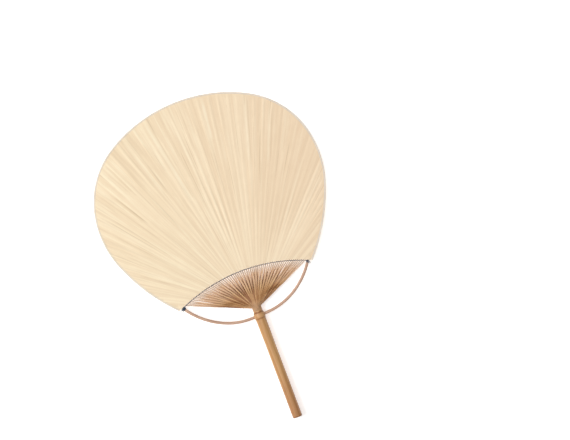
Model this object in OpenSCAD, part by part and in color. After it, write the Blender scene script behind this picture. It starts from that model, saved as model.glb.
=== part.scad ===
// Round uchiwa: a rigid round fan with a bamboo culm handle, sixty-four split
// ribs, a bent bow, a woven thread, paper on both faces and a bound edge.
//
// The fan lies flat. +Y runs from the butt of the handle to the top of the
// blade, +X is to the right, +Z is out of the front face. z = 0 is the middle
// of the blade and the axis of the handle. The origin is on that axis, at the
// middle of the plain round grip. Lengths are in millimetres, angles in degrees.

/* [Handle] */
// Diameter of the plain round grip
grip_d = 10.3; // [9.6:0.1:10.6]
// Length of the plain round grip
grip_len = 80; // [50:1:100]
// From the butt of the handle to the middle of its node
handle_len = 115.5; // [110:0.5:140]
// Diameter of the swelling at the node
node_d = 12.1; // [11.4:0.1:12.6]
// Wall thickness of the culm at the butt
culm_wall = 1.5; // [1.2:0.1:1.8]
// Length of the plug that closes the butt
plug_len = 14; // [8:1:20]

/* [Blade] */
// Height of the top of the blade above the node
blade_top = 242.6; // [238:0.1:248]
// Lean of the round blade to the left of the handle
blade_lean = 1.73; // [0:0.01:2.5]
// Thickness of each paper
paper_t = 0.2; // [0.16:0.01:0.24]
// Width of the binding strip on each face
bind_w = 1.8; // [1.2:0.1:2.4]
// Thickness of the binding strip
bind_t = 0.12; // [0.1:0.01:0.14]

/* [Ribs] */
// Ribs on each side of the split culm
ribs_per_side = 32; // [24:1:32]
// Width of a middle rib where it crosses the thread
rib_w = 1.10; // [0.6:0.01:1.12]
// How much wider a rib is halfway between the neck and the thread
rib_belly = 0.25; // [0:0.01:0.25]
// Thickness of a rib in the blade
rib_t = 0.6; // [0.5:0.01:0.62]
// Unevenness of the hand-set spacing, as a part of the pitch
rib_uneven = 0.12; // [0:0.01:0.13]

/* [Bow] */
// Diameter of the bow
bow_d = 3.2; // [2.4:0.1:3.2]
// Tilt of the bow, right end up
bow_lean = 2.06; // [0:0.01:2.5]
// Length of bow left under the paper at each end
tongue_len = 4; // [2:0.5:5]

/* [Thread] */
// Diameter of the weaving thread
thread_d = 0.44; // [0.36:0.01:0.44]
// Turns of thread round each end of the bow
tie_turns = 6; // [4:1:7]

/* [Hidden] */

butt_round = 1.0;                                     // rounding at the butt edge
node_y = handle_len - butt_round - grip_len / 2;      // the node, seen from the origin
bore_r = grip_d / 2 - culm_wall;                      // hollow of the culm
split_y = 5.0;                                        // where the splits start, above the node
neck_y = 9.2;                                         // where the ribs spread
ring_r = 4.53;                                        // middle of the split wall
ring_half = 0.415;                                    // half the split wall
ring_gap = 0.03;                                      // width of a split
bow_y = -0.46;                                        // bow axis at the culm
bow_hole_d = bow_d + 0.1;
in_z = rib_t / 2 + 0.02;                              // inner face of a paper
out_z = in_z + paper_t;                               // outer face of a paper
rim_z = out_z - bind_t;                               // paper pressed down at the rim

// Circle of the woven thread and of the paper's lower edge
arc_c = [-1.2, -125.6];
thread_R = 176.0;
paper_R = thread_R + 0.75;
first_psi = 22.3;    // rightmost rib, seen from arc_c
last_psi = -22.8;    // leftmost rib

// Half outline of the blade: tangent arcs [radius, sweep] from the top clockwise
edge_arcs = [[159.0, 28.96], [91.7, 46.3], [103.8, 34.0], [198.9, 27.5]];
// Half of the bow: tangent arcs [radius, sweep] from the straight middle outwards
bow_arcs = [[90.42, 3.01], [70.84, 23.35], [79.5, 55]];
bow_straight = 6.5;  // half of the straight middle

// ---------- small functions ----------
function rot2(p, a) = [p[0] * cos(a) - p[1] * sin(a), p[0] * sin(a) + p[1] * cos(a)];
function unit(v) = v / norm(v);
function smooth(a, b, x) = let (t = min(max((x - a) / (b - a), 0), 1)) t * t * (3 - 2 * t);
function noise(k) = let (v = sin(k * 127.1 + 41.7) * 437.585) v - floor(v) - 0.5;

// Points along a chain of tangent arcs that turn to the right (side = 1) or to
// the left (side = -1); each entry is [x, y, heading].
function arc_end(p, R, a, side) = let (h = p[2])
    [p[0] + side * R * (sin(h) - sin(h - side * a)),
     p[1] - side * R * (cos(h) - cos(h - side * a)), h - side * a];
function arc_run(p, R, a, n, side) = [for (k = [1:n]) arc_end(p, R, a * k / n, side)];
function arc_chain(p, arcs, step, side, grow = 0, i = 0) =
    i == len(arcs) ? [] :
    let (R = arcs[i][0] + grow, a = arcs[i][1], n = max(2, ceil(a / step)))
    concat(arc_run(p, R, a, n, side),
           arc_chain(arc_end(p, R, a, side), arcs, step, side, grow, i + 1));

// Outline of the blade, grown by d, as a closed list of points
function outline(d) = let (
        top = [0, blade_top + d, 0],
        right = concat([top], arc_chain(top, edge_arcs, 2.6, 1, d)))
    concat([for (p = right) rot2([p[0], p[1]], blade_lean)],
           [for (k = [len(right) - 1:-1:1]) rot2([-right[k][0], right[k][1]], blade_lean)]);

// ---------- ribs ----------
// Slots are counted across the blade from the right. Even slots hold front
// ribs and odd slots hold back ribs.
slots = 2 * ribs_per_side;
psi_step = (last_psi - first_psi) / (slots - 1);
// Hand-set spacing: a slow drift and a little scatter, none at the two sides
function drift(s) = rib_uneven * min(1, min(s, slots - 1 - s) / 6)
    * (0.8 * noise(s) + sin(35 * s + 57) + 1.6 * sin(15.5 * s + 126));
function slot_psi(s) = first_psi + psi_step * (s + drift(s));
function on_arc(psi, R) = arc_c + R * [sin(psi), cos(psi)];
function ring_theta(s) = (floor(s / 2) + 0.5) * 180 / ribs_per_side;
function rib_root(s) = [ring_r * cos(ring_theta(s)), neck_y];
function rib_dir(s) = unit(on_arc(slot_psi(s), thread_R) - rib_root(s));
// How squarely a rib crosses the thread; ribs that cross it aslant are made
// narrower by the same share, so the gaps along the thread stay alike
function square_on(s) = rib_dir(s) * [sin(slot_psi(s)), cos(slot_psi(s))];
function rib_wide(s) = rib_w * square_on(s);

rib_edge = outline(-bind_w - 0.9);
// Distance along a ray to the blade's edge
function hit(p, d, a, b) = let (e = b - a, den = d[0] * e[1] - d[1] * e[0],
        t = ((a[0] - p[0]) * e[1] - (a[1] - p[1]) * e[0]) / den,
        u = ((a[0] - p[0]) * d[1] - (a[1] - p[1]) * d[0]) / den)
    (abs(den) > 1e-9 && u >= 0 && u <= 1 && t > 66) ? t : 1e6;
// A rib ends just inside the binding, or against the bow's tongue if it meets one
function tongue_hit(p, d, w, right) = let (m = bow_meet(right), a = bow_at(m - 2, right), b = bow_at(m + tongue_len + 1.2, right))
    hit(p, d, a, b) - (bow_d / 2 - 0.3 + w / 2) / abs(cross(d, unit(b - a)));
function rib_reach(s) = let (p = rib_root(s), d = rib_dir(s), n = len(rib_edge))
    min(concat([for (i = [0:n - 1]) hit(p, d, rib_edge[i], rib_edge[(i + 1) % n])],
               [tongue_hit(p, d, rib_wide(s), true), tongue_hit(p, d, rib_wide(s), false)]));

// Angle between neighbouring slots, without the unevenness
function even_dir(u) = let (th = (u + 0.5) * 90 / ribs_per_side,
        v = on_arc(first_psi + psi_step * u, thread_R) - [ring_r * cos(th), neck_y]) atan2(v[0], v[1]);
function slot_angle(s) = (even_dir(s - 0.5) - even_dir(s + 0.5)) * PI / 180;

// One rib as a list of stations, each with four corners. s is its slot, q the
// distance from the neck and T that of the thread. Near the culm the section is
// a wedge of its wall. The ribs at the sides run on edge, one above the other,
// until they are far enough apart to lie flat; then all settle into one plane.
function rib_section(s, q, T) = let (
        front = (s % 2 == 0) ? 1 : -1,
        th = ring_theta(s), root = rib_root(s), d = rib_dir(s), g = slot_angle(s),
        q0 = pow(cos(th), 2) * 0.9 / (2 * g * (1 - rib_uneven)),
        w = rib_wide(s),
        q2 = (w * (1 + rib_belly / 2) + 0.04) / (g * (1 - 2 * rib_uneven)),
        bend = smooth(-1.6, 2.4, q),
        dir = unit([0, 1] * (1 - bend) + d * bend),
        plan = q < 0 ? root + [0, q] : root + d * q,
        side = [dir[1], -dir[0]],
        m = smooth(q0, q0 + 17, q),
        f = min(max((q - q0) / (T - 3.2 - q0), 0), 1),
        z = ring_r * sin(th) * (1 + 0.12 * smooth(0, q0 + 0.01, q) * pow(cos(th), 2)) * pow(1 - f, 1.25) * (1 - 0.25 * sin(180 * f))
            + 0.33 * smooth(0.55 * q0, q0 + 1, q) * (1 - smooth(min(q2, T - 17), min(q2 + 14, T - 3), q)),
        tm = front * (th + (90 - th) * m),
        nv = [side[0] * cos(tm), side[1] * cos(tm), sin(tm)],
        wv = [-side[0] * sin(tm), -side[1] * sin(tm), cos(tm)],
        b = ring_half + (rib_t / 2 - ring_half) * smooth(0, 12, q),
        pitch = PI / ribs_per_side,
        wi = ((ring_r - ring_half) * pitch - ring_gap) / 2,
        wo = ((ring_r + ring_half) * pitch - ring_gap) / 2,
        full = w / 2 * (1 + rib_belly * (1 - smooth(0.55 * T, T, q)) - 0.25 * smooth(T, T + 150, q)),
        mw = smooth(q0, q0 + 13, q),
        ai = wi + (full - wi) * mw,
        ao = wo + (full - wo) * mw,
        c = [plan[0], plan[1], front * z])
    [c - ai * wv - b * nv, c + ai * wv - b * nv, c + ao * wv + b * nv, c - ao * wv + b * nv];

module skin(rings) {
    n = len(rings[0]);
    m = len(rings);
    pts = [for (r = rings) for (p = r) p];
    polyhedron(points = pts, convexity = 4, faces = concat(
        [[for (k = [0:n - 1]) k]],
        [[for (k = [n - 1:-1:0]) (m - 1) * n + k]],
        [for (i = [0:m - 2]) for (k = [0:n - 1]) let (a = i * n + k, b = i * n + (k + 1) % n) [a, a + n, b]],
        [for (i = [0:m - 2]) for (k = [0:n - 1]) let (a = i * n + k, b = i * n + (k + 1) % n) [b, a + n, b + n]]));
}

module rib(s) {
    T = norm(on_arc(slot_psi(s), thread_R) - rib_root(s));
    L = rib_reach(s);
    near = min(T + 3, (T + L) / 2);
    q = [split_y - neck_y, -0.7, 1.2, 0.1 * T, 0.19 * T, 0.28 * T, 0.37 * T, 0.47 * T, 0.58 * T, 0.7 * T, 0.84 * T, T - 3, near, L];
    skin([for (x = q) rib_section(s, x, T)]);
}

module rib_fan(first) {
    translate([0, node_y, 0])
        for (i = [0:ribs_per_side - 1]) rib(2 * i + first);
}

// ---------- swept round stock ----------
// A round rod along points, each ring turned by a reference direction.
function ring_at(p, t, up, r, n) = let (x = unit(up - (up * t) * t), y = cross(t, x))
    [for (k = [0:n - 1]) p + r * (cos(360 * k / n) * x + sin(360 * k / n) * y)];
function tangent(P, i) = unit(P[min(i + 1, len(P) - 1)] - P[max(i - 1, 0)]);

module rod(P, up, r, n) {
    skin([for (i = [0:len(P) - 1]) ring_at(P[i], tangent(P, i), up[i], r, n)]);
}

// ---------- bow ----------
// Centreline of the right half in the bow's own frame, [x, y, heading]
bow_path = let (p = [bow_straight, 0, 0]) concat([[0, 0, 0], p], arc_chain(p, bow_arcs, 2.6, -1));
function bow_point(k, right) = let (p = bow_path[k])
    rot2([right ? p[0] : -p[0], p[1]], bow_lean) + [0, bow_y];
// Length along the bow at point k
function bow_s(k) = k == 0 ? 0 : bow_s(k - 1) + norm([bow_path[k][0] - bow_path[k - 1][0], bow_path[k][1] - bow_path[k - 1][1]]);
bow_lengths = [for (k = [0:len(bow_path) - 1]) bow_s(k)];
function bow_at(s, right) = let (
        k = max([for (i = [0:len(bow_path) - 2]) if (bow_lengths[i] <= s) i]),
        f = (s - bow_lengths[k]) / (bow_lengths[k + 1] - bow_lengths[k]))
    bow_point(k, right) * (1 - f) + bow_point(k + 1, right) * f;
function outside(s, right) = norm(bow_at(s, right) - arc_c) - paper_R;
// Length along the bow at which it reaches the paper's lower edge
function bow_meet(right, a = 40, b = 88, n = 24) = n == 0 ? (a + b) / 2 :
    let (m = (a + b) / 2) outside(m, right) > 0 ? bow_meet(right, a, m, n - 1) : bow_meet(right, m, b, n - 1);
function bow_dir(s, right) = unit(bow_at(s + 0.4, right) - bow_at(s - 0.4, right));

function bow_half_t(u) = bow_d / 2 + (rib_t / 2 - bow_d / 2) * smooth(-13, 0.5, u);   // half thickness, u from the paper edge
function bow_half_w(u) = bow_d / 2 - 0.6 * smooth(-6, 1, u) - 0.25 * smooth(1, 7, u);
function bow_ring(s, right, meet, n = 12) = let (
        p = bow_at(s, right), d = bow_dir(s, right), u = s - meet,
        a = bow_half_w(u) * (s < bow_straight ? 0.985 : 0.985 + 0.015 * smooth(6.5, 12, s)),
        b = bow_half_t(u) * (s < bow_straight ? 0.985 : 0.985 + 0.015 * smooth(6.5, 12, s)),
        x = right ? [d[1], -d[0], 0] : [-d[1], d[0], 0])
    [for (k = [0:n - 1]) let (t = 360 * (k + 0.5) / n) [p[0], p[1], 0] + a * cos(t) * x + [0, 0, (right ? -1 : 1) * b * sin(t)]];

module bow_arm(right) {
    meet = bow_meet(right);
    end = meet + tongue_len;
    s = concat([for (k = [0:12]) 1.2 + k * (meet - 14 - 1.2) / 12], [for (k = [1:7]) meet - 14 + k * 2], [meet + 2, end - 1.2, end]);
    skin([for (x = s) bow_ring(x, right, meet)]);
}

// ---------- blade sheets ----------
module sheet(d, z0, z1) {
    difference() {
        translate([0, 0, z0]) linear_extrude(height = z1 - z0) polygon(outline(d));
        translate([arc_c[0], arc_c[1], z0 - 1]) cylinder(r = paper_R, h = z1 - z0 + 2, $fn = 360);
    }
}

// Plain over the ribs and pressed down at the rim, where the binding brings it
// back to the same level
module paper() {
    union() {
        sheet(-bind_w, in_z, out_z);
        difference() {
            sheet(0, rim_z - paper_t, rim_z);
            linear_extrude(height = 2) polygon(outline(-bind_w - 0.4));
        }
    }
}

// ---------- sub-parts ----------
// Bamboo culm: grip, node swelling with its sheath scar, diaphragm and bow hole
module handle_culm() {
    gr = grip_d / 2;
    b = -handle_len;
    color("peru")
    translate([0, node_y, 0])
    difference() {
        rotate([-90, 0, 0]) rotate_extrude($fn = 96) polygon([
            [bore_r, b], [gr - 0.8, b], [gr - 0.25, b + 0.3], [gr, b + butt_round],
            [gr, b + butt_round + grip_len], [5.35, -20], [5.45, -4.6], [5.62, -3.8],
            [5.9, -2.6], [node_d / 2, -1.6], [node_d / 2 - 0.06, 0], [5.85, 1.4],
            [5.66, 2.3], [5.36, 2.9], [5.12, 3.4], [5.02, 4.2], [ring_r + ring_half, split_y],
            [ring_r - ring_half, split_y], [ring_r - ring_half, 3.7], [3.2, 3.4], [0, 3.3],
            [0, 1.8], [2.6, 1.65], [bore_r, 0.9]]);
        translate([0, bow_y, 0]) rotate([0, 0, bow_lean]) rotate([0, 90, 0])
            translate([0, 0, -8]) cylinder(d = bow_hole_d, h = 16, $fn = 48);
    }
}

// Softwood plug glued into the butt
module handle_plug() {
    color("tan")
    translate([0, node_y - handle_len, 0])
        rotate([-90, 0, 0]) rotate_extrude($fn = 96) polygon([
            [0, 0], [bore_r - 0.35, 0], [bore_r - 0.02, 0.3], [bore_r - 0.02, plug_len - 1], [bore_r - 0.7, plug_len], [0, plug_len]]);
}

module front_ribs() {
    color("burlywood") rib_fan(0);
}

module back_ribs() {
    color("sienna") rib_fan(1);
}

// Bent bow: round in the culm, shaved to a flat tongue at both ends
module bow() {
    color("rosybrown")
    translate([0, node_y, 0]) union() {
        translate([0, bow_y, 0]) rotate([0, 0, bow_lean]) rotate([0, 90, 0])
            translate([0, 0, -bow_straight - 0.3]) cylinder(d = bow_d, h = 2 * bow_straight + 0.6, $fn = 48);
        bow_arm(true);
        bow_arm(false);
    }
}

// One strand goes over the front ribs and under the back ribs, its partner the
// other way round, side by side along the arc.
weave_z = rib_t / 2 + thread_d / 2 + 0.02;
weave_off = thread_d / 2 + 0.02;
// Half the flat run of a strand over a rib, which it crosses at a slant
function half_run(s) = (rib_wide(s) / 2 + 0.13) / square_on(s);
function weave_points(first) = let (R = thread_R + first * weave_off)
    [for (s = [0:slots - 1]) for (e = [1, -1]) let (p = on_arc(slot_psi(s) + e * half_run(s) / R * 180 / PI, R))
        [p[0], p[1], weave_z * first * (s % 2 == 0 ? 1 : -1)]];
// A strand leaves the outermost rib and runs to the winding on the bow
function tie_psi(right) = let (p = bow_at(bow_meet(right) - 1.3, right) - arc_c) atan2(p[0], p[1]);
function weave_full(first) = let (P = weave_points(first), R = thread_R + first * weave_off,
        z = bow_half_t(-1) + thread_d * 1.72,
        r1 = on_arc((first_psi + tie_psi(true)) / 2, R), r2 = on_arc(tie_psi(true), R),
        l1 = on_arc((last_psi + tie_psi(false)) / 2, R), l2 = on_arc(tie_psi(false), R))
    concat([[r2[0], r2[1], first * z], [r1[0], r1[1], first * (z + weave_z) / 2]], P,
           [[l1[0], l1[1], -first * (z + weave_z) / 2], [l2[0], l2[1], -first * z]]);

module weaving_thread() {
    color("slategray")
    translate([0, node_y, 0])
        for (first = [1, -1]) {
            P = weave_full(first);
            rod(P, [for (p = P) let (v = unit([p[0] - arc_c[0], p[1] - arc_c[1]])) [v[0], v[1], 0]], thread_d / 2, 6);
        }
}

// Close winding of thread round one end of the bow. It starts and ends in a
// tail on the side away from the blade, with the knot between the tails.
tie_n = 14;                       // rings in a turn
tie_pitch = thread_d * 1.1;
function tie_frame(right, k) = let (meet = bow_meet(right), s = meet - 0.35 - tie_pitch * k / tie_n,
        d = bow_dir(s, right), out = right ? 1 : -1)
    [bow_at(s, right), d, [out * d[1], -out * d[0]],
     bow_half_w(s - meet) + thread_d / 2 + 0.04, bow_half_t(s - meet) + thread_d / 2 + 0.04];
function tie_point(right, k) = let (f = tie_frame(right, k), t = 360 * k / tie_n, p = f[0] + f[3] * cos(t) * f[2])
    [p[0], p[1], f[4] * sin(t)];
function tie_up(right, k) = let (f = tie_frame(right, k), t = 360 * k / tie_n)
    [cos(t) * f[2][0], cos(t) * f[2][1], sin(t)];
// Points of the tails: w away from the bow, l along it, z up. One tail turns
// down beside the bow, the other lies over the corner of the front paper.
function tail_point(f, w, l, z) = let (p = f[0] + (f[3] + w) * f[2] + l * f[1]) [p[0], p[1], z];
low_tail = [[0.16, 0.03, -0.45], [0.6, -0.1, -0.8], [1.25, -0.9, -0.82], [1.7, -2.1, -0.5], [1.9, -3.3, -0.2]];
high_tail = [[0.16, -0.05, 0.45], [0.7, -0.1, 0.84], [1.6, 0.15, 0.92], [2.6, 0.55, 0.86], [3.6, 0.7, 0.8]];
module bow_tie(right) {
    last = tie_n * tie_turns;
    a = tie_frame(right, 0);
    b = tie_frame(right, last);
    P = concat([for (i = [4:-1:0]) let (q = low_tail[i]) tail_point(a, q[0], q[1], q[2])],
               [for (k = [1:last - 1]) tie_point(right, k)],
               [for (i = [0:4]) let (q = high_tail[i]) tail_point(b, q[0], q[1], q[2])]);
    U = concat([for (i = [4:-1:0]) [a[2][0], a[2][1], i == 0 ? -0.4 : 1.6]],
               [for (k = [1:last - 1]) tie_up(right, k)],
               [for (i = [0:4]) [b[2][0], b[2][1], i == 0 ? 0.4 : -1.6]]);
    rod(P, U, thread_d / 2, 6);
    c = tie_frame(right, last / 2);
    k = tail_point(c, thread_d / 2 + 0.66, 0, 0);
    translate(k) sphere(r = 0.6, $fn = 24);
}

module left_bow_tie() {
    color("darkslategray") translate([0, node_y, 0]) bow_tie(false);
}

module right_bow_tie() {
    color("darkslategray") translate([0, node_y, 0]) bow_tie(true);
}

module front_paper() {
    color("blanchedalmond") translate([0, node_y, 0]) paper();
}

module back_paper() {
    color("antiquewhite") translate([0, node_y, 0]) mirror([0, 0, 1]) paper();
}

// Folded strip over the rim: a channel that closes on both papers
module edge_binding() {
    color("wheat")
    translate([0, node_y, 0])
    difference() {
        linear_extrude(height = 2 * out_z, center = true) polygon(outline(bind_t));
        linear_extrude(height = 2 * out_z + 2, center = true) polygon(outline(-bind_w));
        linear_extrude(height = 2 * rim_z, center = true) polygon(outline(0));
        translate([arc_c[0], arc_c[1], -2]) cylinder(r = paper_R, h = 4, $fn = 360);
    }
}

handle_culm();
handle_plug();
front_ribs();
back_ribs();
bow();
weaving_thread();
left_bow_tie();
right_bow_tie();
front_paper();
back_paper();
edge_binding();
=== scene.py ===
import math

import bmesh
import bpy
import numpy as np
from mathutils import Matrix, Vector


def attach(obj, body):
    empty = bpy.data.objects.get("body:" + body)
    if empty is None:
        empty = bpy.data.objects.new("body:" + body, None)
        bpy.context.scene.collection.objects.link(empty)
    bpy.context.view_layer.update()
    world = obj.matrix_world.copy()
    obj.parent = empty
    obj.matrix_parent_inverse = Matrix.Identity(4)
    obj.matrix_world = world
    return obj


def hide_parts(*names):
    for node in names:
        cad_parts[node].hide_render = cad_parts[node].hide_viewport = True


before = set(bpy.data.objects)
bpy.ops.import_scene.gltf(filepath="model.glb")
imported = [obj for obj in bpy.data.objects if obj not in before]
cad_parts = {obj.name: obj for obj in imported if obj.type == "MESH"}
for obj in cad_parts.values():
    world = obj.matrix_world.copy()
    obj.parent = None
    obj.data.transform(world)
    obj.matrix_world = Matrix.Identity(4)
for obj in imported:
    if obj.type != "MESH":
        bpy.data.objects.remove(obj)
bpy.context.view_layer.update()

# Lengths below are millimetres from the middle of the culm's node, in the plane
# of the blade; NODE_Y takes them to the frame's origin in the grip.
MM = 0.001
NODE_Y = 74.5
PI = math.pi

# ------------------------------------------------------------------ dimensions
GRIP_R, GRIP_LEN, HANDLE_LEN = 5.15, 80.0, 115.5
BORE_R = 3.65
BLADE_TOP, LEAN = 242.6, 1.73
BIND_W, BIND_T = 1.8, 0.12
SIDE_RIBS, RIB_W, RIB_T, UNEVEN, BELLY = 32, 1.10, 0.6, 0.12, 0.25
BOW_D, BOW_LEAN, BOW_Y, TONGUE = 3.2, 2.06, -0.46, 4.0
THREAD_D, TURNS = 0.44, 6
SPLIT_Y, NECK_Y, RING_R, RING_HALF, RING_GAP = 5.0, 9.2, 4.53, 0.415, 0.03
IN_Z, OUT_Z = 0.32, 0.52
RIM_Z = OUT_Z - BIND_T
ARC_C = np.array([-1.2, -125.6])
THREAD_R = 176.0
PAPER_R = THREAD_R + 0.75
PSI0, PSI1 = 22.3, -22.8
EDGE_ARCS = [(159.0, 28.96), (91.7, 46.3), (103.8, 34.0), (198.9, 27.5)]
BOW_ARCS = [(90.42, 3.01), (70.84, 23.35), (79.5, 55.0)]
BOW_STRAIGHT = 6.5
SLOTS = 2 * SIDE_RIBS


# ------------------------------------------------------------ number functions
def sind(a): return np.sin(np.radians(a))
def cosd(a): return np.cos(np.radians(a))


def smooth(a, b, x):
    t = np.clip((np.asarray(x, float) - a) / (b - a), 0.0, 1.0)
    return t * t * (3 - 2 * t)


def fract_noise(k):
    v = sind(k * 127.1 + 41.7) * 437.585
    return v - np.floor(v) - 0.5


def hash01(*k):
    """A fixed pseudo-random number in 0..1 from any numbers."""
    v = 0.0
    for i, a in enumerate(k):
        v = v + np.asarray(a, float) * (12.9898 + 65.233 * i)
    v = np.sin(v + 1.234) * 43758.5453
    return v - np.floor(v)


def wave1(x, seed):
    """Smooth one-dimensional noise in -1..1 with features about 1 apart."""
    x = np.asarray(x, float) + 1000.0
    i = np.floor(x)
    f = x - i
    f = f * f * (3 - 2 * f)
    return 2 * (hash01(i, seed) * (1 - f) + hash01(i + 1, seed) * f) - 1


def wave2(x, y, seed):
    """Smooth two-dimensional noise in -1..1."""
    x = np.asarray(x, float) + 1000.0
    y = np.asarray(y, float) + 1000.0
    i, j = np.floor(x), np.floor(y)
    f, g = x - i, y - j
    f, g = f * f * (3 - 2 * f), g * g * (3 - 2 * g)
    a = hash01(i, j, seed) * (1 - f) + hash01(i + 1, j, seed) * f
    b = hash01(i, j + 1, seed) * (1 - f) + hash01(i + 1, j + 1, seed) * f
    return 2 * (a * (1 - g) + b * g) - 1


def rot2(p, a):
    p = np.asarray(p, float)
    c, s = math.cos(math.radians(a)), math.sin(math.radians(a))
    return np.stack([p[..., 0] * c - p[..., 1] * s, p[..., 0] * s + p[..., 1] * c], -1)


def unit(v):
    v = np.asarray(v, float)
    return v / np.linalg.norm(v, axis=-1, keepdims=True)


# ------------------------------------------------------------- plan geometry
def arc_chain(p, arcs, step, side, grow=0.0):
    out = [p]
    for R, a in arcs:
        R += grow
        n = max(2, math.ceil(a / step))
        x, y, h = out[-1]
        for k in range(1, n + 1):
            b = side * a * k / n
            out.append((x + side * R * (sind(h) - sind(h - b)), y - side * R * (cosd(h) - cosd(h - b)), h - b))
    return np.array([(q[0], q[1]) for q in out])


def rim_line(d=0.0, step=0.4):
    """The blade's edge grown by d, from the left corner over the top to the right corner."""
    right = arc_chain((0.0, BLADE_TOP + d, 0.0), EDGE_ARCS, step, 1, d)
    left = right[:0:-1] * [-1, 1]
    p = rot2(np.vstack([left, right]), LEAN)
    out = np.linalg.norm(p - ARC_C, axis=1) - PAPER_R
    i0 = np.argmax(out > 0)
    i1 = len(p) - 1 - np.argmax(out[::-1] > 0)

    def cut(a, b, fa, fb):
        return a + (b - a) * (fa / (fa - fb))
    return np.vstack([cut(p[i0 - 1], p[i0], out[i0 - 1], out[i0]), p[i0:i1 + 1], cut(p[i1], p[i1 + 1], out[i1], out[i1 + 1])])


def resample(p, n):
    s = np.r_[0, np.cumsum(np.linalg.norm(np.diff(p, axis=0), axis=1))]
    t = np.linspace(0, s[-1], n)
    return np.stack([np.interp(t, s, p[:, k]) for k in range(p.shape[1])], -1), t


RIM = rim_line(0.0)
RIM_S = np.r_[0, np.cumsum(np.linalg.norm(np.diff(RIM, axis=0), axis=1))]


def rim_at(s):
    return np.stack([np.interp(s, RIM_S, RIM[:, 0]), np.interp(s, RIM_S, RIM[:, 1])], -1)


def on_arc(psi, R):
    psi = np.asarray(psi, float)
    return ARC_C + R * np.stack([sind(psi), cosd(psi)], -1)


PSI_STEP = (PSI1 - PSI0) / (SLOTS - 1)


def slot_psi(s):
    drift = UNEVEN * min(1, min(s, SLOTS - 1 - s) / 6) * (0.8 * fract_noise(s) + sind(35 * s + 57) + 1.6 * sind(15.5 * s + 126))
    return PSI0 + PSI_STEP * (s + drift)


def ring_theta(s): return (s // 2 + 0.5) * 180 / SIDE_RIBS
def rib_root(s): return np.array([RING_R * cosd(ring_theta(s)), NECK_Y])
def rib_dir(s): return unit(on_arc(slot_psi(s), THREAD_R) - rib_root(s))
def square_on(s): return float(rib_dir(s) @ np.array([sind(slot_psi(s)), cosd(slot_psi(s))]))
def rib_wide(s): return RIB_W * square_on(s)


def even_dir(u):
    th = (u + 0.5) * 90 / SIDE_RIBS
    v = on_arc(PSI0 + PSI_STEP * u, THREAD_R) - np.array([RING_R * cosd(th), NECK_Y])
    return math.atan2(v[0], v[1])


def slot_angle(s): return even_dir(s - 0.5) - even_dir(s + 0.5)


# bow centreline, sampled by length from its middle
_bow = arc_chain((BOW_STRAIGHT, 0.0, 0.0), BOW_ARCS, 0.5, -1)
_bow = np.vstack([[0.0, 0.0], _bow])
_bow_s = np.r_[0, np.cumsum(np.linalg.norm(np.diff(_bow, axis=0), axis=1))]


def bow_at(s, right):
    s = np.asarray(s, float)
    p = np.stack([np.interp(s, _bow_s, _bow[:, 0]) * (1 if right else -1), np.interp(s, _bow_s, _bow[:, 1])], -1)
    return rot2(p, BOW_LEAN) + np.array([0.0, BOW_Y])


def bow_dir(s, right): return unit(bow_at(np.asarray(s) + 0.4, right) - bow_at(np.asarray(s) - 0.4, right))


def bow_meet(right):
    a, b = 40.0, 88.0
    for _ in range(40):
        m = (a + b) / 2
        if np.linalg.norm(bow_at(m, right) - ARC_C) > PAPER_R:
            b = m
        else:
            a = m
    return (a + b) / 2


MEET = {True: bow_meet(True), False: bow_meet(False)}
def bow_half_t(u): return BOW_D / 2 + (RIB_T / 2 - BOW_D / 2) * smooth(-13, 0.5, u)
def bow_half_w(u): return BOW_D / 2 - 0.6 * smooth(-6, 1, u) - 0.25 * smooth(1, 7, u)


def ray_hit(p, d, line):
    a, e = line[:-1], np.diff(line, axis=0)
    den = d[0] * e[:, 1] - d[1] * e[:, 0]
    den = np.where(abs(den) < 1e-12, 1e-12, den)
    t = ((a[:, 0] - p[0]) * e[:, 1] - (a[:, 1] - p[1]) * e[:, 0]) / den
    u = ((a[:, 0] - p[0]) * d[1] - (a[:, 1] - p[1]) * d[0]) / den
    ok = (u >= 0) & (u <= 1) & (t > 30)
    return t[ok].max() if ok.any() else 1e6


RIB_EDGE = rim_line(-BIND_W - 0.9)
RIB_T_LEN = np.array([np.linalg.norm(on_arc(slot_psi(s), THREAD_R) - rib_root(s)) for s in range(SLOTS)])


def rib_reach(s):
    p, d = rib_root(s), rib_dir(s)
    t = ray_hit(p, d, RIB_EDGE)
    for right in (True, False):
        a, b = bow_at(MEET[right] - 2, right), bow_at(MEET[right] + TONGUE + 1.2, right)
        h = ray_hit(p, d, np.array([a, b]))
        if h > 66 and h < 1e5:
            w = unit(b - a)
            t = min(t, h - (BOW_D / 2 - 0.3 + rib_wide(s) / 2) / abs(d[0] * w[1] - d[1] * w[0]))
    return t


RIB_REACH = np.array([rib_reach(s) for s in range(SLOTS)])
WIDE = np.array([rib_wide(s) for s in range(SLOTS)])


# ------------------------------------------------------------- mesh functions
def place(p):
    """Millimetres from the node to metres in the frame."""
    p = np.array(p, float)
    p[..., 1] += NODE_Y
    return p * MM


def make(name, verts, faces, node, material, attrs=None, angle=None):
    me = bpy.data.meshes.new(name)
    me.from_pydata([tuple(v) for v in place(verts)], [], faces)
    me.validate(clean_customdata=False)
    if attrs:
        for key, val in attrs.items():
            val = np.asarray(val, float)
            if val.ndim == 1:
                at = me.attributes.new(key, "FLOAT", "POINT")
                at.data.foreach_set("value", val.astype(np.float32))
            else:
                at = me.attributes.new(key, "FLOAT_VECTOR", "POINT")
                at.data.foreach_set("vector", val.astype(np.float32).ravel())
    ob = bpy.data.objects.new(name, me)
    bpy.context.collection.objects.link(ob)
    me.materials.append(material)
    fix_normals(me)
    shade(me, angle)
    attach(ob, "root")
    if node:
        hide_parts(node)
    return ob


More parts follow.
